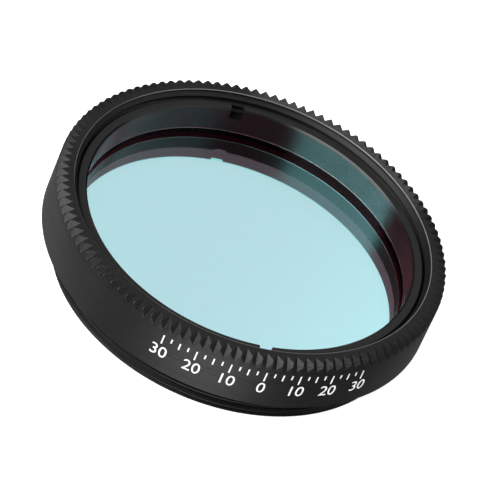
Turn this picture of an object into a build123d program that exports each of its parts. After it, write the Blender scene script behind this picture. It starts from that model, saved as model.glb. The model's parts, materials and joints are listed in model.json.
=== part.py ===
from build123d import *
import math
import os

# A round optical filter in a screwed cell, in millimetres.
# The origin is at the middle of the spigot's end face, which the filter stands on.
# +Z points out of the front, where the retaining ring is.

# Screw thread of the spigot and of the front mouth: M28.5 x 0.6
thread_radius = 14.25
thread_pitch = 0.6

# Band, the part that the fingers hold
shoulder_width = 1.25
front_edge_break = 0.25
rear_edge_break = 0.15
mouth_break = 0.3

# Knurl: slanted notches across the band's front corner, outside a plain rim
rim_width = 0.4
knurl_count = 120
knurl_bearing = 1.95
knurl_drop = 0.7
knurl_land = 0.02

# Spigot behind the band, with a thread relief that also sinks into the band
spigot_length = 2.5
relief_length = 0.8
relief_margin = 0.03
relief_sink = 0.1
end_break = 0.3
aperture_break = 0.15

# Stack inside the cell, from the ledge to the front face
ledge_width = 0.925
ledge_thickness = 0.6
glass_thickness = 1.0
ring_height = 2.3
ring_recess = 0.7

# Filter glass
glass_clearance = 0.075
glass_edge_break = 0.1

# Retaining ring with two slots for a spanner
ring_clearance = 0.04
ring_width = 0.885
ring_bore_break = 0.15
ring_rim_break = 0.19
slot_count = 2
slot_width = 1.05
slot_depth = 1.0
slot_bearing = -90

# Depths of a metric thread, as shares of the pitch
INNER_THREAD_DEPTH = 0.5413
OUTER_THREAD_DEPTH = 0.6134

# Heights above the spigot's end
ledge_z = spigot_length + ledge_thickness
glass_top_z = ledge_z + glass_thickness
ring_top_z = glass_top_z + ring_height
front_z = ring_top_z + ring_recess

# Radii that follow from the thread
band_radius = thread_radius + shoulder_width
bore_radius = thread_radius - INNER_THREAD_DEPTH * thread_pitch
relief_radius = thread_radius - OUTER_THREAD_DEPTH * thread_pitch - relief_margin
aperture_radius = bore_radius - ledge_width
mouth_radius = bore_radius + mouth_break
glass_radius = bore_radius - glass_clearance
ring_radius = bore_radius - ring_clearance
ring_bore_radius = ring_radius - ring_width


def turned(points):
    """A turned piece: a closed outline of radius and height, revolved about Z."""
    outline = Plane.XZ * make_face(Polyline(*points, close=True))
    return revolve(outline, Axis.Z)


def knurl_notch():
    """One notch of the knurl at azimuth 0: a V whose bottom line slants down and outwards."""
    corner_radius = band_radius - front_edge_break
    start = Vector(mouth_radius + rim_width, 0, front_z)
    run = Vector(band_radius, 0, front_z - knurl_drop) - start
    along = run.normalized()
    # Depth of the V under the corner, square to its bottom line
    corner = Vector(corner_radius, 0, front_z) - start
    depth = corner.cross(along).length
    # Neighbouring notches nearly meet at the corner, so that what is left comes to a point
    half_width = math.pi * corner_radius / knurl_count - knurl_land / 2
    tall = 3
    opening = Polygon(
        (0, 0),
        (tall * half_width, tall * depth),
        (-tall * half_width, tall * depth),
        align=None,
    )
    section = Plane(origin=start - run, x_dir=(0, 1, 0), z_dir=along) * opening
    return extrude(section, amount=3 * run.length)


def filter_cell():
    """Band, ledge and spigot, turned from one bar and knurled round the front corner."""
    cell = turned([
        (aperture_radius + aperture_break, 0),
        (thread_radius - end_break, 0),
        (thread_radius, end_break),
        (thread_radius, spigot_length - relief_length),
        (relief_radius, spigot_length - relief_length),
        (relief_radius, spigot_length + relief_sink),
        (thread_radius + relief_margin, spigot_length + relief_sink),
        (thread_radius + relief_margin, spigot_length),
        (band_radius - rear_edge_break, spigot_length),
        (band_radius, spigot_length + rear_edge_break),
        (band_radius, front_z - front_edge_break),
        (band_radius - front_edge_break, front_z),
        (mouth_radius, front_z),
        (bore_radius, front_z - mouth_break),
        (bore_radius, ledge_z),
        (aperture_radius, ledge_z),
        (aperture_radius, aperture_break),
    ])
    notch = knurl_notch()
    return cell - [place * notch for place in PolarLocations(0, knurl_count, knurl_bearing)]


def filter_glass():
    """Flat coated disc that lies on the ledge."""
    return turned([
        (0, ledge_z),
        (glass_radius - glass_edge_break, ledge_z),
        (glass_radius, ledge_z + glass_edge_break),
        (glass_radius, glass_top_z - glass_edge_break),
        (glass_radius - glass_edge_break, glass_top_z),
        (0, glass_top_z),
    ])


def retaining_ring():
    """Screwed ring that holds the glass down, with a spanner slot across it on each side."""
    ring = turned([
        (ring_bore_radius, glass_top_z),
        (ring_radius, glass_top_z),
        (ring_radius, ring_top_z - ring_rim_break),
        (ring_radius - ring_rim_break, ring_top_z),
        (ring_bore_radius + ring_bore_break, ring_top_z),
        (ring_bore_radius, ring_top_z - ring_bore_break),
    ])
    slot = Pos((ring_bore_radius + ring_radius) / 2, 0, ring_top_z) * Box(
        2 * (ring_radius - ring_bore_radius), slot_width, 2 * slot_depth
    )
    return ring - [place * slot for place in PolarLocations(0, slot_count, slot_bearing)]


os.makedirs("parts", exist_ok=True)
for piece in (filter_cell, filter_glass, retaining_ring):
    export_step(piece(), f"parts/{piece.__name__}.step")
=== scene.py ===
import json
import math

import bmesh
import bpy
from mathutils import Matrix, Vector


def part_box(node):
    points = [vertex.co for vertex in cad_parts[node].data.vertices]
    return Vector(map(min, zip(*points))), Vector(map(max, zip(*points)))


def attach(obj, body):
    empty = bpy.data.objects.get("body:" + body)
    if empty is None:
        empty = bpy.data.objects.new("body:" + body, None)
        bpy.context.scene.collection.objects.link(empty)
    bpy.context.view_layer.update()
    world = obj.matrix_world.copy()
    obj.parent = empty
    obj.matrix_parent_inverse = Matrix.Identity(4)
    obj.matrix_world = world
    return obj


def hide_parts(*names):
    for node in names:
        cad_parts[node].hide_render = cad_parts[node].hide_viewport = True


bl_info = {
    "name": "Screw-in Optical Filter",
    "version": (1, 0, 0),
    "blender": (4, 5, 0),
    "location": "3D View > Sidebar > Filter",
    "description": "A round filter in its screwed cell: threads, knurl, coated glass, scale and studio",
    "category": "Add Mesh",
}

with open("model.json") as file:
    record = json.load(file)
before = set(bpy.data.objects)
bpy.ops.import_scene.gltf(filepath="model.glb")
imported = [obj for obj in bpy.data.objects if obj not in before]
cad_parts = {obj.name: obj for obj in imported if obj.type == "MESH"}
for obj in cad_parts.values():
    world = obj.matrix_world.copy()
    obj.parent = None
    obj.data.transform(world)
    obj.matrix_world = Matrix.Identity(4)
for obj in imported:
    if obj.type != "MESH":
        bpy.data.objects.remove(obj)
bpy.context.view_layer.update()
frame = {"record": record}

MM = 0.001
BODY = "root"

# Camera: the picture's width in pixels, and the sensor's in millimetres
IMAGE_WIDTH = 500
SENSOR_WIDTH = 36
CLIP_START = 10 * MM

# Resolution: columns of faces in the width of one knurl notch, and rows in one pitch of thread
COLUMNS_PER_NOTCH = 4
ROWS_PER_PITCH = 8
WINDOW_COLUMNS = 96
FONT_RESOLUTION = 4
WELD_DISTANCE = 0.001 * MM
# Slack for rounding errors when rows are counted
ROUNDING = 1e-6

# Edges sharper than the first are shaded sharp, and those sharper than the second are rounded
SMOOTH_ANGLE = math.radians(35)
BEVEL_ANGLE = math.radians(25)
BEVEL_SEGMENTS = 2

# Thread form in shares of the pitch: half of a flat crest or root, and one flank
HALF_FLAT = 1 / 16
FLANK = 3 / 8

# Marks of the scale from one number to the next
MARKS_PER_NUMBER = 4

# Anodised skin. Colours are linear, and scales of noise are per metre. The dye varies with the fine
# grain and with a slow drift, by these shares.
DYE_DARK = (0.0035, 0.0035, 0.004)
DYE_LIGHT = (0.008, 0.008, 0.0085)
DRIFT_SCALE = 260
GRAIN_SHARE = 0.6
DRIFT_SHARE = 0.4
ROUGHNESS_SPREAD = 0.08
# Rubbed bare edge, also a painted highlight line: how sharply it ends, how ragged its border is, and
# how much rougher it is than the skin
WEAR_HIGHLIGHT_SHARPNESS = 3
WEAR_HIGHLIGHT_RAGGEDNESS = 0.2
WEAR_HIGHLIGHT_ROUGHNESS = 0.2
# Skin within this depth of the front belongs to the front face
FACE_DEPTH = 0.02 * MM
# Painted highlight on one stretch of the front face, where a lamp's gloss falls: its middle, half its
# length, its colour, and how its border and its grain stand out
PAINTED_HIGHLIGHT_AZIMUTH = math.radians(52)
PAINTED_HIGHLIGHT_REACH = math.radians(36)
PAINTED_HIGHLIGHT_TINT = (0.11, 0.11, 0.12, 1)
PAINTED_HIGHLIGHT_SHARPNESS = 2.5
PAINTED_HIGHLIGHT_CONTRAST = 2.4
PAINTED_HIGHLIGHT_CUT = 0.7

# Glass and paint
GLASS_IOR = 1.47
MIRROR_ROUGHNESS = 0.02
# Faces whose normals point down more steeply than this are the glass's rear
REAR_NORMAL = -0.9
PAINT_DARK = (0.72, 0.72, 0.70)
PAINT_LIGHT = (0.90, 0.90, 0.88)
SPECKLE_SCALE = 9000

# Light table, and its window inside the filter's opening
TABLE_REACH = 3
TABLE_WHITE = (0.8, 0.8, 0.8, 1)
FIBRE_SCALE = 900
WINDOW_RISE = 0.38 * MM

# Soft panels of the light tent, as seen from the filter: azimuth, elevation and reach in degrees, and
# radiance. Those under the table show only in the gloss of the band.
PANELS = (
    (69, 40, 8, 0.97),
    (77, 61, 4, 1.5),
    (-158, 42, 28, 4.4),
    (-20, 42, 26, 0.6),
    (45, 42, 12, 0.4),
    (-104, -38, 20, 2.5),
    (155, -38, 24, 0.38),
    (105, -38, 20, 0.22),
    (30, -38, 16, 0.14),
)
# Width of a panel's soft border in degrees
PANEL_EDGE = 7


def mount_radius(name):
    """Radius in metres that the packed record gives one mount."""
    mount = next(mount for mount in frame["record"]["mounts"] if mount["name"] == name)
    return mount["dims"]["r_mm"] * MM


CELL_LOW, CELL_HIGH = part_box("filter_cell")
RING_LOW, RING_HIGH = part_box("retaining_ring")
GLASS_LOW, GLASS_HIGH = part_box("filter_glass")
THREAD_RADIUS = mount_radius("eyepiece_thread")
BORE_RADIUS = mount_radius("front_thread")


def length(name, description, value):
    """A length property in metres."""
    return bpy.props.FloatProperty(
        name=name, description=description, default=value, min=0, precision=6, unit="LENGTH"
    )


def angle(name, description, degrees):
    """An angle property, written in degrees and kept in radians."""
    return bpy.props.FloatProperty(
        name=name, description=description, default=math.radians(degrees), subtype="ANGLE"
    )


def share(name, description, value):
    """A plain number from 0 to 1."""
    return bpy.props.FloatProperty(name=name, description=description, default=value, min=0, max=1)


def count(name, description, value):
    """A whole number."""
    return bpy.props.IntProperty(name=name, description=description, default=value, min=1)


def number(name, description, value):
    """A plain number from 0 up."""
    return bpy.props.FloatProperty(name=name, description=description, default=value, min=0)


def colour(name, description, value):
    """A linear colour."""
    return bpy.props.FloatVectorProperty(
        name=name, description=description, default=value, size=3, subtype="COLOR", min=0, max=1
    )


class CellSizes(bpy.types.PropertyGroup):
    """The turned, threaded and knurled cell."""

    band_radius: length("Band radius", "Outside of the band", CELL_HIGH.x)
    band_low: length("Band bottom", "Height of the shoulder behind the band", 2.5 * MM)
    front: length("Front", "Height of the cell's front face", CELL_HIGH.z)
    thread_radius: length("Thread radius", "Crest radius of the spigot's thread", THREAD_RADIUS)
    root_radius: length("Root radius", "Root radius of the spigot's thread", 13.882 * MM)
    bore_radius: length("Bore radius", "Crest radius of the thread in the front bore", BORE_RADIUS)
    bore_root_radius: length("Bore root", "Root radius of the thread in the front bore", 14.25 * MM)
    pitch: length("Pitch", "Pitch of the threads", 0.6 * MM)
    thread_end: length("Thread end", "Height where the spigot's thread meets its relief", 1.7 * MM)
    end_break: length("End chamfer", "Chamfer of the spigot's end", 0.3 * MM)
    relief_radius: length("Relief radius", "Bottom of the thread relief", 13.852 * MM)
    relief_sink: length("Relief sink", "How far the relief goes into the band", 0.1 * MM)
    relief_margin: length("Relief margin", "Width of the sunk relief past the thread", 0.03 * MM)
    aperture_radius: length("Aperture", "Radius of the opening under the glass", 13 * MM)
    aperture_break: length("Aperture chamfer", "Chamfer of the opening's rear edge", 0.15 * MM)
    rear_break: length("Rear chamfer", "Chamfer of the band's rear corner", 0.15 * MM)
    front_break: length("Front chamfer", "Chamfer of the band's front corner", 0.25 * MM)
    mouth_break: length("Mouth chamfer", "Chamfer of the front bore's mouth", 0.3 * MM)
    rim_width: length("Plain rim", "Flat land between the mouth and the knurl", 0.4 * MM)
    notch_drop: length("Notch drop", "How far the notches come down the band", 0.7 * MM)
    notches: count("Notches", "Notches round the band's front corner", 120)
    notch_bearing: angle("Notch bearing", "Azimuth of the first notch", 1.95)
    edge_round: length("Edge rounding", "Rounding left on sharp edges by the finish", 0.012 * MM)


class RingSizes(bpy.types.PropertyGroup):
    """The threaded retaining ring."""

    low: length("Bottom", "Height of the ring's seat on the glass", RING_LOW.z)
    high: length("Top", "Height of the ring's front face", RING_HIGH.z)
    bore: length("Bore", "Radius of the ring's clear bore", 13 * MM)
    bore_break: length("Bore chamfer", "Chamfer of the bore's front edge", 0.15 * MM)
    crest_radius: length("Crest radius", "Crest radius of the ring's thread", 14.21 * MM)
    root_radius: length("Root radius", "Root radius of the ring's thread", 13.87 * MM)
    rim_radius: length("Rim radius", "Where the front face meets its outer chamfer", 13.7 * MM)
    slot_width: length("Slot width", "Width of the spanner slots", 1.05 * MM)
    slot_depth: length("Slot depth", "Depth of the spanner slots", 1.0 * MM)


class GlassSizes(bpy.types.PropertyGroup):
    """The coated disc and its colours."""

    radius: length("Radius", "Radius of the disc", GLASS_HIGH.x)
    edge_break: length("Edge chamfer", "Chamfer of the disc's edges", 0.1 * MM)
    front_sheen: colour("Front sheen", "Tint of the weak reflection at the front", (1.0, 0.75, 1.0))
    mirror: colour("Mirror", "Colour that the stack behind reflects", (0.26, 0.80, 0.835))
    passed: colour("Passed light", "Colour that the stack behind lets through", (0.8, 0.001, 0.01))
    haze: share("Haze", "Roughness of the way through the stack", 0.1)
    passing: share("Passing", "Share of the light that goes through the stack", 0.17)


class CellFinish(bpy.types.PropertyGroup):
    """Finish of the cell."""

    roughness: share("Roughness", "Roughness of the anodised skin", 0.42)
    face_roughness: share("Face roughness", "Roughness of the front face", 0.62)
    gloss: share("Gloss", "Strength of the skin's reflection, 0.5 for plain lacquer", 0.4)
    mark_spacing: length("Mark spacing", "Distance between turning marks", 0.12 * MM)
    mark_depth: length("Mark depth", "Depth of the turning marks", 0.03 * MM)
    grain_size: length("Grain size", "Size of the finish's grain", 0.07 * MM)
    grain_depth: length("Grain depth", "Depth of the finish's grain", 0.006 * MM)
    # The rubbed edge is bare metal and also a painted highlight line: its width, and its colour
    wear: length("Wear", "Width of the bare metal along a rubbed edge", 0.035 * MM)
    bare: colour("Bare metal", "Colour of a rubbed edge", (0.34, 0.34, 0.33))
    # Strength of the painted highlight on one stretch of the front face
    handled: share("Handled", "How pale the front face has rubbed in one place", 0.8)


class RingFinish(bpy.types.PropertyGroup):
    """Finish of the retaining ring."""

    roughness: share("Roughness", "Roughness of the anodised skin", 0.22)
    face_roughness: share("Face roughness", "Roughness of the front face", 0.62)
    gloss: share("Gloss", "Strength of the skin's reflection, 0.5 for plain lacquer", 0.5)
    mark_spacing: length("Mark spacing", "Distance between turning marks", 0.12 * MM)
    mark_depth: length("Mark depth", "Depth of the turning marks", 0.002 * MM)
    grain_size: length("Grain size", "Size of the finish's grain", 0.07 * MM)
    grain_depth: length("Grain depth", "Depth of the finish's grain", 0.0006 * MM)
    # The ring's rubbed edge at its seat on the glass is bare metal and also a painted highlight line:
    # its width, and its colour, warmed so that the highlight looks neutral in the blue-green light from
    # the glass
    wear: length("Wear", "Width of the bare metal along a rubbed edge", 0.04 * MM)
    bare: colour("Bare metal", "Colour of a rubbed edge", (0.62, 0.44, 0.42))
    # Strength of the painted highlight on the front face; the ring has none
    handled: share("Handled", "How pale the front face has rubbed in one place", 0.0)


class ScaleSizes(bpy.types.PropertyGroup):
    """The engraved and filled scale round the band."""

    middle: angle("Middle", "Azimuth of the scale's middle", -90)
    step: angle("Step", "Angle between two marks", 2.5)
    steps_each_way: count("Steps each way", "Marks on each side of the middle", 12)
    top: length("Top", "Height of the marks' upper ends", 5.95 * MM)
    long_mark: length("Long mark", "Length of a mark that has a number", 0.85 * MM)
    middle_mark: length("Middle mark", "Length of a half-way mark", 0.6 * MM)
    short_mark: length("Short mark", "Length of a plain mark", 0.38 * MM)
    mark_width: length("Mark width", "Width of a mark", 0.11 * MM)
    number_height: length("Number height", "Height of the numbers", 1.0 * MM)
    number_gap: length("Number gap", "Gap between marks and numbers", 0.2 * MM)
    fill_height: length("Fill height", "How far the paint stands proud", 0.012 * MM)
    fill_depth: length("Fill depth", "How deep the paint goes", 0.04 * MM)


class StudioSettings(bpy.types.PropertyGroup):
    """Camera and light."""

    view_azimuth: angle("View azimuth", "Turn of the camera round the filter", -20.7)
    view_elevation: angle("View elevation", "Height of the camera above the front face", 39.55)
    roll: angle("Roll", "Turn of the picture about the line of sight", 23.96)
    distance: length("Distance", "From the camera to the aim point", 302.99 * MM)
    aim_height: length("Aim height", "Height of the aim point on the filter's axis", 6.9 * MM)
    lens: number("Lens", "Focal length in millimetres", 288)
    aim_x: number("Aim column", "Pixel column of the aim point", 254.05)
    aim_y: number("Aim row", "Pixel row of the aim point", 219.23)
    surround: number("Surround", "Radiance of the tent between its panels", 0.08)
    floor_glow: number("Floor glow", "Radiance of the light table", 0.9)
    window_glow: number("Window glow", "Radiance of the table inside the filter's opening", 1.2)


class Wire:
    """A socket of a node tree, with the arithmetic that this object's trees use."""

    def __init__(self, tree, socket=None):
        self.tree = tree
        self.socket = socket

    def node(self, kind, settings=None, sockets=None, output=0):
        """Adds any node: settings first, then values or links of sockets. Gives one output."""
        node = self.tree.nodes.new(kind)
        for name, value in (settings or {}).items():
            if name == "stops":
                set_stops(node.color_ramp, value)
            else:
                setattr(node, name, value)
        for name, value in (sockets or {}).items():
            if isinstance(value, Wire):
                self.tree.links.new(value.socket, node.inputs[name])
            else:
                node.inputs[name].default_value = value
        return Wire(self.tree, node.outputs[output])

    def out(self, name):
        """Another output of the node that this wire comes from."""
        return Wire(self.tree, self.socket.node.outputs[name])

    def math(self, operation, *others):
        """A Math node that takes this wire first, and gives its output."""
        values = dict(enumerate((self, *others)))
        return self.node("ShaderNodeMath", {"operation": operation}, values)

    def __add__(self, other):
        return self.math("ADD", other)

    __radd__ = __add__

    def __mul__(self, other):
        return self.math("MULTIPLY", other)

    __rmul__ = __mul__

    def __sub__(self, other):
        return self.math("SUBTRACT", other)

    def __rsub__(self, other):
        return (self * -1) + other

    def __truediv__(self, other):
        return self.math("DIVIDE", other)

    def minimum(self, other):
        return self.math("MINIMUM", other)

    def maximum(self, other):
        return self.math("MAXIMUM", other)

    def clamp(self):
        """Held between 0 and 1."""
        return self.minimum(1.0).maximum(0.0)

    def rounds_to(self, value):
        """1 where this is that whole number but for a rounding error, otherwise 0."""
        return self.math("COMPARE", value, 0.5)

    def mix(self, mask, other):
        """This number where mask is 0 and the other where it is 1."""
        return self + (other - self) * mask

    def between(self, low, high):
        """The low number where this is 0 and the high one where it is 1."""
        return self * (high - low) + low


def set_stops(ramp, stops):
    """Gives a colour ramp its two (place, colour) stops."""
    for element, (place, tint) in zip(ramp.elements, stops):
        element.position = place
        element.color = (*tint, 1)


def new_tree(name, inputs):
    """A Geometry Nodes tree with named inputs, and its input wires by name."""
    tree = bpy.data.node_groups.new(name, "GeometryNodeTree")
    tree.interface.new_socket("Geometry", in_out="INPUT", socket_type="NodeSocketGeometry")
    for label, kind in inputs.items():
        tree.interface.new_socket(label, in_out="INPUT", socket_type=f"NodeSocket{kind}")
    tree.interface.new_socket("Geometry", in_out="OUTPUT", socket_type="NodeSocketGeometry")
    source = tree.nodes.new("NodeGroupInput")
    return tree, {socket.name: Wire(tree, socket) for socket in source.outputs if socket.name}


def end_tree(tree, geometry, material):
    """Ends a tree in real geometry with its material."""
    real = geometry.node("GeometryNodeRealizeInstances", sockets={0: geometry})
    dressed = real.node("GeometryNodeSetMaterial", sockets={"Geometry": real, "Material": material})
    result = tree.nodes.new("NodeGroupOutput")
    tree.links.new(dressed.socket, result.inputs[0])


def add_object(name, data):
    """A new object in the scene, at the world's origin."""
    made = bpy.data.objects.new(name, data)
    bpy.context.scene.collection.objects.link(made)
    return made


def take_mesh(holder):
    """The plain mesh that an object's modifiers or letters give. The object is removed."""
    depsgraph = bpy.context.evaluated_depsgraph_get()
    result = bpy.data.meshes.new_from_object(holder.evaluated_get(depsgraph), depsgraph=depsgraph)
    holder.modifiers.clear()
    bpy.data.objects.remove(holder)
    return result


def grow(name, tree, values, mesh=None):
    """Runs a tree on a mesh, and gives the result as a plain mesh."""
    holder = add_object(name, mesh or bpy.data.meshes.new(name))
    modifier = holder.modifiers.new(name, "NODES")
    modifier.node_group = tree
    for socket in tree.interface.items_tree:
        if socket.in_out == "INPUT" and socket.name in values:
            modifier[socket.identifier] = values[socket.name]
    return take_mesh(holder)


def thread_tree(material):
    """A band of helical thread: a grid whose rows follow the helix, cut off square at both ends."""
    tree, given = new_tree("Screw Thread", {
        "Columns": "Int",
        "Rows": "Int",
        "Bearing": "Float",
        "Side": "Float",
        "Pitch": "Float",
        "Small Radius": "Float",
        "Large Radius": "Float",
        "Low": "Float",
        "High": "Float",
        "Low Limit": "Float",
        "High Limit": "Float",
        "Low Edge": "Float",
        "High Edge": "Float",
    })
    maker = Wire(tree)
    grid = maker.node("GeometryNodeMeshGrid", sockets={
        "Size X": 1.0,
        "Size Y": 1.0,
        "Vertices X": given["Columns"] + 1,
        "Vertices Y": given["Rows"],
    })
    place = maker.node("GeometryNodeInputPosition")
    x = maker.node("ShaderNodeSeparateXYZ", sockets={0: place})
    turn = x + 0.5
    row = ((x.out("Y") + 0.5) * (given["Rows"] - 1)).math("ROUND")
    # The first and last rows are flat edges that meet the turned faces beside the thread
    inner = (row - 1).maximum(0).minimum(given["Rows"] - 3)
    start = given["Low"] - given["Pitch"]
    height = start + inner * given["Pitch"] / ROWS_PER_PITCH + given["Pitch"] * turn
    z = height.maximum(given["Low"]).minimum(given["High"])
    phase = ((z - given["Low"]) / given["Pitch"] - turn + HALF_FLAT).math("FRACT")
    off_crest = (phase - 0.5).math("ABSOLUTE")
    rise = ((1 / 2 - HALF_FLAT - off_crest) / FLANK).clamp()
    thread = given["Small Radius"].mix(rise, given["Large Radius"]) * given["Side"]
    # Chamfers of 45 degrees at both ends
    low_limit = given["Low Limit"] * given["Side"] + (z - given["Low"])
    high_limit = given["High Limit"] * given["Side"] + (given["High"] - z)
    radius = thread.minimum(low_limit).minimum(high_limit) * given["Side"]
    radius = radius.mix(row.rounds_to(0), given["Low Edge"])
    radius = radius.mix(row.rounds_to(given["Rows"] - 1), given["High Edge"])
    azimuth = turn * math.tau + given["Bearing"]
    spot = maker.node("ShaderNodeCombineXYZ", sockets={
        "X": radius * azimuth.math("COSINE"),
        "Y": radius * azimuth.math("SINE"),
        "Z": z,
    })
    placed = maker.node("GeometryNodeSetPosition", sockets={"Geometry": grid, "Position": spot})
    welded = maker.node("GeometryNodeMergeByDistance", sockets={
        "Geometry": placed,
        "Distance": WELD_DISTANCE,
    })
    end_tree(tree, welded, material)
    return tree


def ring_of_notches_tree(material):
    """Copies of a wedge set round the axis and welded into one knurled body."""
    tree, given = new_tree("Knurled Band", {"Count": "Int", "Bearing": "Float"})
    maker = Wire(tree)
    points = maker.node("GeometryNodePoints", sockets={"Count": given["Count"]})
    index = maker.node("GeometryNodeInputIndex")
    azimuth = given["Bearing"] + index * math.tau / given["Count"]
    turned = maker.node("ShaderNodeCombineXYZ", sockets={"Z": azimuth})
    rotation = maker.node("FunctionNodeEulerToRotation", sockets={0: turned})
    copies = maker.node("GeometryNodeInstanceOnPoints", sockets={
        "Points": points,
        "Instance": given["Geometry"],
        "Rotation": rotation,
    })
    real = maker.node("GeometryNodeRealizeInstances", sockets={0: copies})
    welded = maker.node("GeometryNodeMergeByDistance", sockets={
        "Geometry": real,
        "Distance": WELD_DISTANCE,
    })
    end_tree(tree, welded, material)
    return tree


def marks_tree(material):
    """Marks at even steps round the band, long, middling and short by their number."""
    tree, given = new_tree("Scale Marks", {
        "Count": "Int",
        "Step": "Float",
        "Middle": "Float",
        "Radius": "Float",
        "Top": "Float",
        "Long": "Float",
        "Half": "Float",
        "Short": "Float",
        "Width": "Float",
        "Thickness": "Float",
    })
    maker = Wire(tree)
    index = maker.node("GeometryNodeInputIndex")
    azimuth = given["Middle"] + (index - (given["Count"] - 1) / 2) * given["Step"]
    past_number = index.math("MODULO", MARKS_PER_NUMBER)
    is_long = past_number.rounds_to(0)
    is_half = past_number.rounds_to(MARKS_PER_NUMBER / 2)
    tall = given["Short"].mix(is_half, given["Half"]).mix(is_long, given["Long"])
    spot = maker.node("ShaderNodeCombineXYZ", sockets={
        "X": given["Radius"] * azimuth.math("COSINE"),
        "Y": given["Radius"] * azimuth.math("SINE"),
        "Z": given["Top"] - tall / 2,
    })
    points = maker.node("GeometryNodePoints", sockets={"Count": given["Count"], "Position": spot})
    turned = maker.node("ShaderNodeCombineXYZ", sockets={"Z": azimuth})
    rotation = maker.node("FunctionNodeEulerToRotation", sockets={0: turned})
    size = maker.node("ShaderNodeCombineXYZ", sockets={
        "X": given["Thickness"],
        "Y": given["Width"],
        "Z": tall,
    })
    block = maker.node("GeometryNodeMeshCube")
    copies = maker.node("GeometryNodeInstanceOnPoints", sockets={
        "Points": points,
        "Instance": block,
        "Rotation": rotation,
        "Scale": size,
    })
    end_tree(tree, copies, material)
    return tree


def polar(radius, azimuth, height):
    """A point from its radius, azimuth and height."""
    return Vector((radius * math.cos(azimuth), radius * math.sin(azimuth), height))


def add_strip(mesh, profile, azimuths):
    """Faces between each two points of a profile and each two azimuths. Gives the rows of vertices."""
    rows = []
    for radius, height in profile:
        if radius:
            rows.append([mesh.verts.new(polar(radius, azimuth, height)) for azimuth in azimuths])
        else:
            rows.append([mesh.verts.new((0, 0, height))] * len(azimuths))
    for low, high in zip(rows, rows[1:]):
        for left in range(len(azimuths) - 1):
            corners = (low[left], low[left + 1], high[left + 1], high[left])
            mesh.faces.new(list(dict.fromkeys(corners)))
    return rows


def to_mesh(bm, name):
    """Finishes a bmesh as a mesh."""
    mesh = bpy.data.meshes.new(name)
    bm.to_mesh(mesh)
    bm.free()
    return mesh


def rim_seam(sizes):
    """Radius on the front face where the thread's skin meets the knurled body."""
    return sizes.bore_root_radius + sizes.mouth_break / 2


def add_notch(bm, sizes, wall_row, columns):
    """The front corner over one notch: a V whose bottom line slants down and outwards."""
    half = columns[-1]
    front = sizes.front
    wall = sizes.band_radius
    corner = wall - sizes.front_break
    start = sizes.bore_radius + sizes.mouth_break + sizes.rim_width
    slope = sizes.notch_drop / (wall - start)
    # Depths under the V's bottom line, straight down, at the corner and below its chamfer
    corner_depth = (corner - start) * slope
    wall_depth = sizes.notch_drop - sizes.front_break
    reach = math.asin(corner * half * wall_depth / corner_depth / wall)
    under = front - sizes.front_break
    inner = [bm.verts.new(polar(rim_seam(sizes), azimuth, front)) for azimuth in columns]
    tips = [bm.verts.new(polar(corner, azimuth, front)) for azimuth in (-half, half)]
    heels = [bm.verts.new(polar(wall, azimuth, under)) for azimuth in (-half, half)]
    flanks = [bm.verts.new(polar(wall, azimuth, under)) for azimuth in (-reach, reach)]
    top = bm.verts.new(polar(start, 0, front))
    low = bm.verts.new(polar(wall, 0, front - sizes.notch_drop))
    middle = len(columns) // 2
    sides = (
        (tips[0], heels[0], flanks[0], inner[:middle + 1], wall_row[:middle + 1]),
        (tips[1], heels[1], flanks[1], inner[:middle - 1:-1], wall_row[:middle - 1:-1]),
    )
    for tip, heel, flank, inside, outside in sides:
        bm.faces.new([*inside, top, tip])
        bm.faces.new([top, tip, flank, low])
        bm.faces.new([tip, heel, flank])
        bm.faces.new([heel, *outside, low, flank])


def cell_wedge(sizes):
    """The cell in the width of one notch, without its threads."""
    bm = bmesh.new()
    half = math.pi / sizes.notches
    columns = [half * (2 * step / COLUMNS_PER_NOTCH - 1) for step in range(COLUMNS_PER_NOTCH + 1)]
    thread_edge = sizes.thread_radius + sizes.relief_margin
    sunk = sizes.band_low + sizes.relief_sink
    wall = sizes.band_radius
    outside = add_strip(bm, [
        (sizes.relief_radius, sizes.thread_end),
        (sizes.relief_radius, sunk),
        (thread_edge, sunk),
        (thread_edge, sizes.band_low),
        (wall - sizes.rear_break, sizes.band_low),
        (wall, sizes.band_low + sizes.rear_break),
        (wall, sizes.front - sizes.notch_drop - sizes.front_break),
    ], columns)
    add_strip(bm, [
        (sizes.bore_radius, RING_LOW.z),
        (sizes.bore_radius, GLASS_LOW.z),
        (sizes.aperture_radius, GLASS_LOW.z),
        (sizes.aperture_radius, sizes.aperture_break),
        (sizes.aperture_radius + sizes.aperture_break, 0),
    ], columns)
    add_notch(bm, sizes, outside[-1], columns)
    return to_mesh(bm, "cell wedge")


def round_edges(mesh, width):
    """Rounds the sharp edges of a mesh, as the blasted finish leaves them."""
    bm = bmesh.new()
    bm.from_mesh(mesh)
    bmesh.ops.recalc_face_normals(bm, faces=bm.faces)
    bm.to_mesh(mesh)
    bm.free()
    holder = add_object(mesh.name, mesh)
    bevel = holder.modifiers.new("Edge rounding", "BEVEL")
    bevel.width = width
    bevel.segments = BEVEL_SEGMENTS
    bevel.limit_method = "ANGLE"
    bevel.angle_limit = BEVEL_ANGLE
    bevel.miter_outer = "MITER_ARC"
    return take_mesh(holder)


def join(name, *meshes):
    """One closed mesh out of skins that share their edges."""
    bm = bmesh.new()
    for mesh in meshes:
        bm.from_mesh(mesh)
    bmesh.ops.remove_doubles(bm, verts=bm.verts, dist=WELD_DISTANCE)
    bmesh.ops.recalc_face_normals(bm, faces=bm.faces)
    open_edges = [edge for edge in bm.edges if len(edge.link_faces) != 2]
    if open_edges:
        first = open_edges[0].verts[0].co
        raise RuntimeError(f"{name} has {len(open_edges)} open edges, the first at {first}")
    return to_mesh(bm, name)


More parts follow.
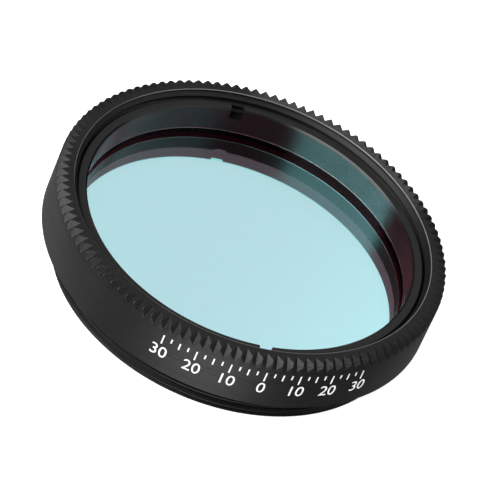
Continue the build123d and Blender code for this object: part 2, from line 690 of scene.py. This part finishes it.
def thread_values(sizes, low, high, side, radii, limits, edges, material):
    """Values for the thread tree's inputs.

    Side is 1 for a thread that faces out and -1 for one that faces in. The pairs are the small and
    large radius, the radius at each end before its chamfer, and the radius of each end's flat edge.
    """
    steps = math.ceil((high - low + sizes.pitch) * ROWS_PER_PITCH / sizes.pitch - ROUNDING)
    return {
        "Columns": sizes.notches * COLUMNS_PER_NOTCH,
        "Rows": steps + 3,
        "Bearing": sizes.notch_bearing,
        "Side": side,
        "Pitch": sizes.pitch,
        "Small Radius": radii[0],
        "Large Radius": radii[1],
        "Low": low,
        "High": high,
        "Low Limit": limits[0],
        "High Limit": limits[1],
        "Low Edge": edges[0],
        "High Edge": edges[1],
        "Material": material,
    }


def dress(mesh, *materials):
    """Gives a mesh these materials alone."""
    mesh.materials.clear()
    for material in materials:
        mesh.materials.append(material)


def add_piece(name, mesh, finish, *nodes):
    """Sets a finished mesh in the frame, in place of the CAD nodes that it stands for."""
    mesh.name = name
    mesh.set_sharp_from_angle(angle=SMOOTH_ANGLE)
    for polygon in mesh.polygons:
        polygon.use_smooth = True
    piece = add_object(name, mesh)
    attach(piece, BODY)
    if nodes:
        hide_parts(*nodes)
    return piece


def new_material(name):
    """A material with one Principled surface. Gives the material, a maker of nodes and the shader."""
    material = bpy.data.materials.new(name)
    material.use_nodes = True
    tree = material.node_tree
    return material, Wire(tree), tree.nodes["Principled BSDF"]


def set_shader(shader, **values):
    """Sets the shader's sockets: spaces in a socket's name are underscores here."""
    for name, value in values.items():
        socket = shader.inputs[name.replace("_", " ")]
        if isinstance(value, Wire):
            value.tree.links.new(value.socket, socket)
        else:
            socket.default_value = value


def noise(maker, place, scale, detail):
    """Noise of one scale over a place."""
    return maker.node("ShaderNodeTexNoise", sockets={"Vector": place, "Scale": scale, "Detail": detail})


def mix_colours(maker, factor, low, high):
    """The low colour where the factor is 0 and the high one where it is 1."""
    return maker.node("ShaderNodeMix", {"data_type": "RGBA"}, {
        "Factor": factor,
        "A": low,
        "B": high,
    }, output=2)


def black_anodised(name, finish, front, edge_radius, edge_height):
    """Black anodised aluminium: turning marks, fine grain, one turned edge rubbed bare that is also
    painted as a bright highlight line, and a painted highlight on one stretch of the front face.
    """
    material, maker, shader = new_material(name)
    place = maker.node("ShaderNodeTexCoord", output="Object")
    x = maker.node("ShaderNodeSeparateXYZ", sockets={0: place})
    y = x.out("Y")
    height = x.out("Z")
    radius = (x * x + y * y).math("SQRT")
    # Marks of the turning tool run round the axis, so they change with radius and height alone
    lathe = maker.node("ShaderNodeCombineXYZ", sockets={"X": radius, "Y": height})
    marks = noise(maker, lathe, 1 / finish.mark_spacing, 1.0)
    grain = noise(maker, place, 1 / finish.grain_size, 2.0)
    drift = noise(maker, place, DRIFT_SCALE, 2.0)
    dye = maker.node("ShaderNodeValToRGB", {
        "stops": ((0.35, DYE_DARK), (0.65, DYE_LIGHT)),
    }, {0: grain * GRAIN_SHARE + drift * DRIFT_SHARE})
    faced = ((height - front) / FACE_DEPTH + 1).clamp()
    # A painted highlight: one stretch of the front face is paler, where a lamp's gloss falls
    towards = x * math.cos(PAINTED_HIGHLIGHT_AZIMUTH) + y * math.sin(PAINTED_HIGHLIGHT_AZIMUTH)
    reach = (towards / radius - math.cos(PAINTED_HIGHLIGHT_REACH)) / (1 - math.cos(PAINTED_HIGHLIGHT_REACH))
    highlight_grain = (grain * PAINTED_HIGHLIGHT_CONTRAST - PAINTED_HIGHLIGHT_CUT).clamp()
    handled = (reach * PAINTED_HIGHLIGHT_SHARPNESS).clamp() * faced * highlight_grain * finish.handled
    # Bare metal along one turned edge, also a painted highlight line
    off = (radius - edge_radius).math("ABSOLUTE").maximum((height - edge_height).math("ABSOLUTE"))
    rub_and_highlight = 1 - (off + (grain - 0.5) * finish.wear * WEAR_HIGHLIGHT_RAGGEDNESS) / finish.wear
    worn_and_highlight = (rub_and_highlight * WEAR_HIGHLIGHT_SHARPNESS).clamp()
    # The dye, with the painted highlight laid over it
    skin = mix_colours(maker, handled, dye, PAINTED_HIGHLIGHT_TINT)
    ridges = maker.node("ShaderNodeBump", sockets={
        "Strength": 1.0,
        "Distance": finish.mark_depth,
        "Height": marks,
    })
    bump = maker.node("ShaderNodeBump", sockets={
        "Strength": 1.0,
        "Distance": finish.grain_depth,
        "Height": grain,
        "Normal": ridges,
    })
    uneven = (grain + drift - 1) * ROUGHNESS_SPREAD
    even = faced.between(finish.roughness, finish.face_roughness)
    set_shader(
        shader,
        Base_Color=mix_colours(maker, worn_and_highlight, skin, (*finish.bare, 1)),
        Metallic=worn_and_highlight,
        Roughness=even + uneven + worn_and_highlight * WEAR_HIGHLIGHT_ROUGHNESS,
        Specular_IOR_Level=finish.gloss,
        Normal=bump,
    )
    return material


def coated_glass(colours):
    """Clear glass whose front gives a weak, tinted reflection."""
    material, _, shader = new_material("Coated Glass")
    set_shader(
        shader,
        Base_Color=(1, 1, 1, 1),
        Roughness=0.0,
        IOR=GLASS_IOR,
        Transmission_Weight=1.0,
        Specular_Tint=(*colours.front_sheen, 1),
    )
    return material


def rear_stack(colours):
    """The coating on the rear face: it mirrors pale blue-green, and lets deep red through."""
    material, maker, shader = new_material("Rear Coating")
    set_shader(shader, Base_Color=(*colours.mirror, 1), Metallic=1.0, Roughness=MIRROR_ROUGHNESS)
    red = maker.node("ShaderNodeBsdfPrincipled", sockets={
        "Base Color": (*colours.passed, 1),
        "Roughness": colours.haze,
        "IOR": GLASS_IOR,
        "Transmission Weight": 1.0,
    })
    both = maker.node("ShaderNodeMixShader", sockets={
        "Fac": colours.passing,
        1: Wire(maker.tree, shader.outputs[0]),
        2: red,
    })
    maker.tree.links.new(both.socket, maker.tree.nodes["Material Output"].inputs["Surface"])
    return material


def filled_paint():
    """White paint rubbed into engraved marks."""
    material, maker, shader = new_material("Filled Paint")
    place = maker.node("ShaderNodeTexCoord", output="Object")
    speckle = noise(maker, place, SPECKLE_SCALE, 3.0)
    tint = maker.node("ShaderNodeValToRGB", {
        "stops": ((0.3, PAINT_DARK), (0.6, PAINT_LIGHT)),
    }, {0: speckle})
    set_shader(shader, Base_Color=tint, Roughness=speckle * 0.2 + 0.45)
    return material


def pale_floor(settings):
    """Matt white plastic, lit from behind as a light table is."""
    material, maker, shader = new_material("Pale Floor")
    place = maker.node("ShaderNodeTexCoord", output="Object")
    fibre = noise(maker, place, FIBRE_SCALE, 2.0)
    set_shader(
        shader,
        Base_Color=TABLE_WHITE,
        Roughness=fibre * 0.1 + 0.85,
        Emission_Color=(1, 1, 1, 1),
        Emission_Strength=settings.floor_glow,
    )
    return material


class FILTER_OT_cell(bpy.types.Operator):
    """Make the cell with both threads and the knurl"""

    bl_idname = "filter.cell"
    bl_label = "Cell"

    def execute(self, context):
        sizes = context.scene.filter_cell
        finish = context.scene.filter_cell_finish
        mouth = sizes.bore_radius + sizes.mouth_break
        material = black_anodised("Black Anodised Cell", finish, sizes.front, mouth, sizes.front)
        body = grow("Knurled body", ring_of_notches_tree(material), {
            "Count": sizes.notches,
            "Bearing": sizes.notch_bearing,
        }, cell_wedge(sizes))
        body = round_edges(body, sizes.edge_round)
        thread = thread_tree(material)
        spigot = grow("Spigot thread", thread, thread_values(
            sizes, 0, sizes.thread_end, 1,
            (sizes.root_radius, sizes.thread_radius),
            (sizes.thread_radius - sizes.end_break, sizes.thread_radius - sizes.aperture_break),
            (sizes.aperture_radius + sizes.aperture_break, sizes.relief_radius),
            material,
        ))
        bore = grow("Bore thread", thread, thread_values(
            sizes, RING_LOW.z, sizes.front, -1,
            (sizes.bore_radius, sizes.bore_root_radius),
            (sizes.bore_radius, mouth),
            (sizes.bore_radius, rim_seam(sizes)),
            material,
        ))
        mesh = join("cell_body", body, spigot, bore)
        dress(mesh, material)
        add_piece("cell_body", mesh, "black_anodised_cell", "filter_cell")
        return {"FINISHED"}


class FILTER_OT_ring(bpy.types.Operator):
    """Make the threaded retaining ring with its spanner slots"""

    bl_idname = "filter.ring"
    bl_label = "Retaining Ring"

    def execute(self, context):
        sizes = context.scene.filter_cell
        ring = context.scene.filter_ring
        finish = context.scene.filter_ring_finish
        material = black_anodised("Black Anodised Ring", finish, ring.high, ring.bore, ring.low)
        columns = sizes.notches * COLUMNS_PER_NOTCH
        azimuths = [sizes.notch_bearing + math.tau * step / columns for step in range(columns + 1)]
        # Radii where the turned skin meets the thread's skin, below and above
        seat = (ring.bore + ring.root_radius) / 2
        face = (ring.bore + ring.bore_break + ring.rim_radius) / 2
        bm = bmesh.new()
        add_strip(bm, [
            (face, ring.high),
            (ring.bore + ring.bore_break, ring.high),
            (ring.bore, ring.high - ring.bore_break),
            (ring.bore, ring.low),
            (seat, ring.low),
        ], azimuths)
        turned = to_mesh(bm, "turned ring")
        thread = grow("Ring thread", thread_tree(material), thread_values(
            sizes, ring.low, ring.high, 1,
            (ring.root_radius, ring.crest_radius),
            (ring.root_radius, ring.rim_radius),
            (seat, face),
            material,
        ))
        mesh = cut_slots(join("ring", turned, thread), ring)
        dress(mesh, material)
        add_piece("threaded_ring", mesh, "black_anodised_ring", "retaining_ring")
        return {"FINISHED"}


def cut_slots(mesh, ring):
    """Cuts both spanner slots with one bar across the ring."""
    bar = bmesh.new()
    bmesh.ops.create_cube(bar, size=1)
    reach = 2 * (ring.crest_radius + ring.slot_width)
    bmesh.ops.scale(bar, vec=(ring.slot_width, reach, 2 * ring.slot_depth), verts=bar.verts)
    bmesh.ops.translate(bar, vec=(0, 0, ring.high), verts=bar.verts)
    cutter = add_object("slot bar", to_mesh(bar, "slot bar"))
    holder = add_object("ring blank", mesh)
    cut = holder.modifiers.new("Slots", "BOOLEAN")
    cut.operation = "DIFFERENCE"
    cut.solver = "EXACT"
    cut.object = cutter
    result = take_mesh(holder)
    bpy.data.objects.remove(cutter)
    return join("ring", result)


class FILTER_OT_glass(bpy.types.Operator):
    """Make the coated glass disc"""

    bl_idname = "filter.glass"
    bl_label = "Glass"

    def execute(self, context):
        sizes = context.scene.filter_glass
        columns = context.scene.filter_cell.notches * COLUMNS_PER_NOTCH
        azimuths = [math.tau * step / columns for step in range(columns + 1)]
        inner = sizes.radius - sizes.edge_break
        bm = bmesh.new()
        add_strip(bm, [
            (0, GLASS_LOW.z),
            (inner, GLASS_LOW.z),
            (sizes.radius, GLASS_LOW.z + sizes.edge_break),
            (sizes.radius, GLASS_HIGH.z - sizes.edge_break),
            (inner, GLASS_HIGH.z),
            (0, GLASS_HIGH.z),
        ], azimuths)
        mesh = join("glass", to_mesh(bm, "glass"))
        dress(mesh, coated_glass(sizes), rear_stack(sizes))
        for polygon in mesh.polygons:
            polygon.material_index = int(polygon.normal.z < REAR_NORMAL)
        add_piece("coated_disc", mesh, "coated_glass", "filter_glass")
        return {"FINISHED"}


def number_mesh(text, scale, azimuth, radius):
    """One number, bent round the band and upright on it."""
    curve = bpy.data.curves.new(text, "FONT")
    curve.body = text
    curve.align_x = "CENTER"
    curve.align_y = "TOP"
    curve.extrude = (scale.fill_height + scale.fill_depth) / 2
    curve.resolution_u = FONT_RESOLUTION
    mesh = take_mesh(add_object(text, curve))
    ys = [vertex.co.y for vertex in mesh.vertices]
    factor = scale.number_height / (max(ys) - min(ys))
    top = scale.top - scale.long_mark - scale.number_gap
    middle_depth = radius + (scale.fill_height - scale.fill_depth) / 2
    for vertex in mesh.vertices:
        x, y, z = vertex.co
        turn = azimuth + x * factor / radius
        vertex.co = polar(middle_depth + z, turn, top + (y - max(ys)) * factor)
    return mesh


class FILTER_OT_scale(bpy.types.Operator):
    """Make the white scale round the band"""

    bl_idname = "filter.scale"
    bl_label = "Scale"

    def execute(self, context):
        scale = context.scene.filter_scale
        radius = context.scene.filter_cell.band_radius
        material = filled_paint()
        marks = grow("Marks", marks_tree(material), {
            "Count": 2 * scale.steps_each_way + 1,
            "Step": scale.step,
            "Middle": scale.middle,
            "Radius": radius + (scale.fill_height - scale.fill_depth) / 2,
            "Top": scale.top,
            "Long": scale.long_mark,
            "Half": scale.middle_mark,
            "Short": scale.short_mark,
            "Width": scale.mark_width,
            "Thickness": scale.fill_height + scale.fill_depth,
        })
        numbers = []
        for step in range(-scale.steps_each_way, scale.steps_each_way + 1, MARKS_PER_NUMBER):
            text = str(round(abs(math.degrees(step * scale.step))))
            numbers.append(number_mesh(text, scale, scale.middle + step * scale.step, radius))
        mesh = join("scale", marks, *numbers)
        dress(mesh, material)
        add_piece("scale_fill", mesh, "black_anodised_cell")
        return {"FINISHED"}


class FILTER_OT_studio(bpy.types.Operator):
    """Make the floor, the light tent and the camera"""

    bl_idname = "filter.studio"
    bl_label = "Studio"

    def execute(self, context):
        settings = context.scene.filter_studio
        add_floor(settings)
        add_window(settings)
        add_tent(settings)
        add_camera(settings)
        return {"FINISHED"}


def add_floor(settings):
    """A wide white light table under the filter, which leaves the gloss to the panels."""
    bm = bmesh.new()
    bmesh.ops.create_grid(bm, x_segments=1, y_segments=1, size=TABLE_REACH)
    mesh = to_mesh(bm, "floor")
    mesh.materials.append(pale_floor(settings))
    floor = add_object("floor", mesh)
    floor.visible_glossy = False
    floor.visible_shadow = False


def add_window(settings):
    """The lit window of the table inside the filter's opening, which shines through the glass."""
    azimuths = [math.tau * step / WINDOW_COLUMNS for step in range(WINDOW_COLUMNS)]
    reach = bpy.context.scene.filter_cell.aperture_radius
    bm = bmesh.new()
    bm.faces.new([bm.verts.new(polar(reach, azimuth, WINDOW_RISE)) for azimuth in azimuths])
    mesh = to_mesh(bm, "window")
    material, _, shader = new_material("Lit Window")
    set_shader(
        shader,
        Base_Color=TABLE_WHITE,
        Emission_Color=(1, 1, 1, 1),
        Emission_Strength=settings.window_glow,
    )
    mesh.materials.append(material)
    window = add_object("window", mesh)


def add_tent(settings):
    """A dim tent with soft round panels of light."""
    world = bpy.data.worlds.new("Light Tent")
    world.use_nodes = True
    tree = world.node_tree
    maker = Wire(tree)
    sight = maker.node("ShaderNodeTexCoord", output="Generated")
    light = settings.surround
    for azimuth, elevation, reach, radiance in PANELS:
        rise = math.radians(elevation)
        facing = polar(math.cos(rise), math.radians(azimuth), math.sin(rise))
        near = maker.node("ShaderNodeVectorMath", {"operation": "DOT_PRODUCT"}, {
            0: sight,
            1: facing,
        }, output=1)
        lit = maker.node("ShaderNodeMapRange", {"interpolation_type": "SMOOTHSTEP"}, {
            "Value": near,
            "From Min": math.cos(math.radians(reach + PANEL_EDGE)),
            "From Max": math.cos(math.radians(reach)),
        })
        light = light + lit * radiance
    background = tree.nodes["Background"]
    background.inputs["Color"].default_value = (1, 1, 1, 1)
    tree.links.new(light.socket, background.inputs["Strength"])
    bpy.context.scene.world = world
    bpy.context.scene.view_settings.view_transform = "Standard"


def add_camera(settings):
    """The camera that sees the filter as the photograph does."""
    elevation = settings.view_elevation
    turn = Matrix.Rotation(settings.view_azimuth, 3, "Z")
    back = turn @ Vector((0, -math.cos(elevation), math.sin(elevation)))
    level = turn @ Vector((1, 0, 0))
    upright = back.cross(level)
    right = level * math.cos(settings.roll) + upright * math.sin(settings.roll)
    up = upright * math.cos(settings.roll) - level * math.sin(settings.roll)
    per_pixel = settings.distance * SENSOR_WIDTH / settings.lens / IMAGE_WIDTH
    middle = IMAGE_WIDTH / 2
    place = Vector((0, 0, settings.aim_height)) + back * settings.distance
    place += up * (settings.aim_y - middle) * per_pixel
    place -= right * (settings.aim_x - middle) * per_pixel
    lens = bpy.data.cameras.new("camera")
    lens.lens = settings.lens
    lens.sensor_width = SENSOR_WIDTH
    lens.clip_start = CLIP_START
    camera = add_object("camera", lens)
    axes = Matrix((right, up, back)).transposed()
    camera.matrix_world = Matrix.Translation(place) @ axes.to_4x4()
    bpy.context.scene.camera = camera


class FILTER_PT_sidebar(bpy.types.Panel):
    """The filter's pieces and their sizes"""

    bl_label = "Screw-in Filter"
    bl_idname = "FILTER_PT_sidebar"
    bl_space_type = "VIEW_3D"
    bl_region_type = "UI"
    bl_category = "Filter"

    def draw(self, context):
        for operator in OPERATORS:
            self.layout.operator(operator.bl_idname)
        for attribute, group in GROUPS.items():
            box = self.layout.box()
            box.label(text=group.__doc__)
            for name in group.__annotations__:
                box.prop(getattr(context.scene, attribute), name)


GROUPS = {
    "filter_cell": CellSizes,
    "filter_ring": RingSizes,
    "filter_glass": GlassSizes,
    "filter_cell_finish": CellFinish,
    "filter_ring_finish": RingFinish,
    "filter_scale": ScaleSizes,
    "filter_studio": StudioSettings,
}
OPERATORS = (FILTER_OT_cell, FILTER_OT_ring, FILTER_OT_glass, FILTER_OT_scale, FILTER_OT_studio)


def register():
    """Adds the classes and the sizes to Blender."""
    for kind in (*GROUPS.values(), *OPERATORS, FILTER_PT_sidebar):
        bpy.utils.register_class(kind)
    for attribute, group in GROUPS.items():
        setattr(bpy.types.Scene, attribute, bpy.props.PointerProperty(type=group))


def unregister():
    """Takes them out again."""
    for attribute in GROUPS:
        delattr(bpy.types.Scene, attribute)
    for kind in reversed((*GROUPS.values(), *OPERATORS, FILTER_PT_sidebar)):
        bpy.utils.unregister_class(kind)


def main():
    """Registers the add-on, and makes every piece and the studio."""
    register()
    bpy.ops.filter.cell()
    bpy.ops.filter.ring()
    bpy.ops.filter.glass()
    bpy.ops.filter.scale()
    bpy.ops.filter.studio()


if __name__ == "__main__":
    main()
